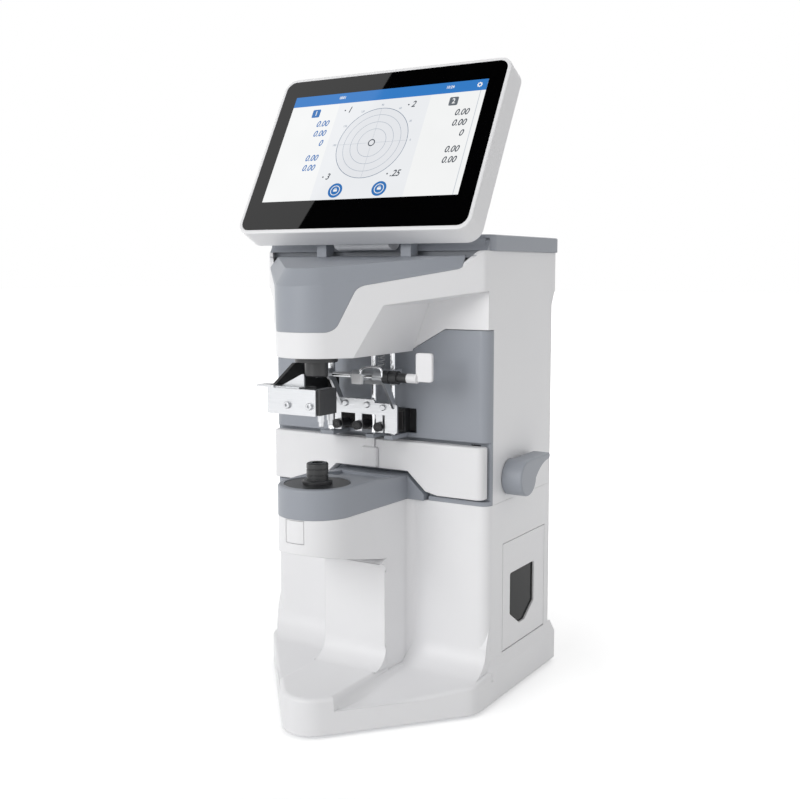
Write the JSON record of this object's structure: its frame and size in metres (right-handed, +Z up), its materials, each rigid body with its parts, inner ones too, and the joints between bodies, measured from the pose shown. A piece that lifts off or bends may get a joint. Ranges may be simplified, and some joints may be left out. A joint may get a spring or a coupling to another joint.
{
  "type": "auto lensmeter",
  "caption": "Desktop auto lensmeter: tilting touch display, lens rest on a lower arm, sliding frame table with side lever, lens holder, marking arm and side printer.",
  "frame": {"origin": "middle of the front foot's face on the floor, straight under the optical axis", "axes": "+Z up, +Y from the user to the back, +X to the user's right"},
  "size_m": [0.2215, 0.2449, 0.4887],
  "materials": {
    "white_plastic": "satin moulded",
    "grey_plastic": "satin moulded",
    "black_plastic": "satin moulded",
    "black_anodised": "black anodised",
    "steel": "brushed",
    "chrome": "polished",
    "brass": "turned",
    "rubber": "matt",
    "screen_glass": "gloss black glass",
    "lcd": "lit panel",
    "lens": "polished",
    "window": "smoked",
    "sheet_metal": "zinc plated",
    "board": "solder mask",
    "paper": "thermal paper",
    "felt": "ink soaked"
  },
  "bodies": {
    "stand": {"lower_housing": "white_plastic", "upper_housing": "white_plastic", "top_cover": "grey_plastic", "rear_cover": "white_plastic", "rear_screws": "steel", "base_pan": "sheet_metal", "front_panel": "grey_plastic", "arm_cover": "grey_plastic", "nosepiece_plate": "black_plastic", "nosepiece": "black_plastic", "sensor_lens": "lens", "sensor_mount": "black_anodised", "sensor_board": "board", "table_rails": "chrome", "lever_bracket": "sheet_metal", "shaft_bushing": "brass", "lamp_housing": "black_plastic", "collimator_lens": "lens", "lamp_board": "board", "guide_shafts": "chrome", "guide_brackets": "black_anodised", "marker_spring": "steel", "ink_cartridge": "black_plastic", "ink_pad": "felt", "printer_body": "black_plastic", "roll_spindle": "grey_plastic", "hinge_pin": "steel", "hinge_posts": "grey_plastic", "chassis": "sheet_metal", "main_board": "board", "power_supply": "sheet_metal", "power_inlet": "black_plastic", "feet": "rubber"},
    "table": {"frame_table": "white_plastic", "gear_rack": "black_plastic"},
    "pd_carriage": {"pd_slider": "white_plastic"},
    "lever": {"table_lever": "grey_plastic", "lever_shaft": "steel", "sector_gear": "black_plastic"},
    "holder": {"holder_block": "black_plastic", "holder_plate": "steel", "holder_screws": "steel", "holder_pins": "steel", "holder_arm": "black_anodised"},
    "marker_slide": {"marker_carriage": "black_plastic"},
    "marker_arm": {"marker_shaft": "chrome", "marker_knob": "black_plastic", "marker_paddle": "white_plastic", "marker_bracket": "steel", "marker_screws": "steel", "marker_pens": "black_plastic"},
    "display": {"display_housing": "white_plastic", "display_glass": "screen_glass", "display_panel": "lcd"},
    "door": {"printer_door": "white_plastic", "door_window": "window"},
    "platen": {"platen_roller": "rubber"},
    "roll": {"paper_roll": "paper"},
    "button": {"read_button": "white_plastic"},
    "rocker": {"power_switch": "black_plastic"}
  },
  "joints": [
    {"name": "table_slide", "type": "slide", "parent": "stand", "child": "table", "axis": [0, -1, 0], "range_m": [0, 0.038]},
    {"name": "pd_slide", "type": "slide", "parent": "table", "child": "pd_carriage", "axis": [1, 0, 0], "range_m": [-0.04, 0.04]},
    {"name": "lever_turn", "type": "hinge", "parent": "stand", "child": "lever", "pos_m": [0.1004, 0.114, 0.173], "axis": [1, 0, 0], "range_deg": [0, 96.8]},
    {"name": "holder_drop", "type": "slide", "parent": "stand", "child": "holder", "axis": [0, 0, 1], "range_m": [-0.024, 0]},
    {"name": "marker_press", "type": "slide", "parent": "stand", "child": "marker_slide", "axis": [0, 0, 1], "range_m": [-0.022, 0], "stiffness_N_per_m": 60, "springref_m": 0.02, "deforming": ["marker_spring"]},
    {"name": "marker_swing", "type": "hinge", "parent": "marker_slide", "child": "marker_arm", "pos_m": [0, 0.04, 0.253], "axis": [1, 0, 0], "range_deg": [-90, 0]},
    {"name": "display_tilt", "type": "hinge", "parent": "stand", "child": "display", "pos_m": [0, 0.066, 0.3562], "axis": [1, 0, 0], "range_deg": [-25, 20]},
    {"name": "door_swing", "type": "hinge", "parent": "stand", "child": "door", "pos_m": [0.0986, 0.143, 0.0366], "axis": [0, 1, 0], "range_deg": [0, 75]},
    {"name": "roll_spin", "type": "hinge", "parent": "stand", "child": "roll", "pos_m": [0.06, 0.142, 0.074], "axis": [0, 1, 0], "continuous": true},
    {"name": "platen_spin", "type": "hinge", "parent": "stand", "child": "platen", "pos_m": [0.084, 0.142, 0.108], "axis": [0, 1, 0], "continuous": true},
    {"name": "read_press", "type": "slide", "parent": "stand", "child": "button", "axis": [0, 1, 0], "range_m": [0, 0.0012], "stiffness_N_per_m": 400, "springref_m": -0.001},
    {"name": "switch_rock", "type": "hinge", "parent": "stand", "child": "rocker", "pos_m": [-0.025, 0.188, 0.062], "axis": [1, 0, 0], "range_deg": [-20, 0]}
  ],
  "couplings": [
    {"joint": "lever_turn", "follows": "table_slide", "rad_per_m": 44.444},
    {"joint": "marker_swing", "follows": "marker_press", "rad_per_m": 71.39},
    {"joint": "platen_spin", "follows": "roll_spin", "ratio": -4}
  ]
}
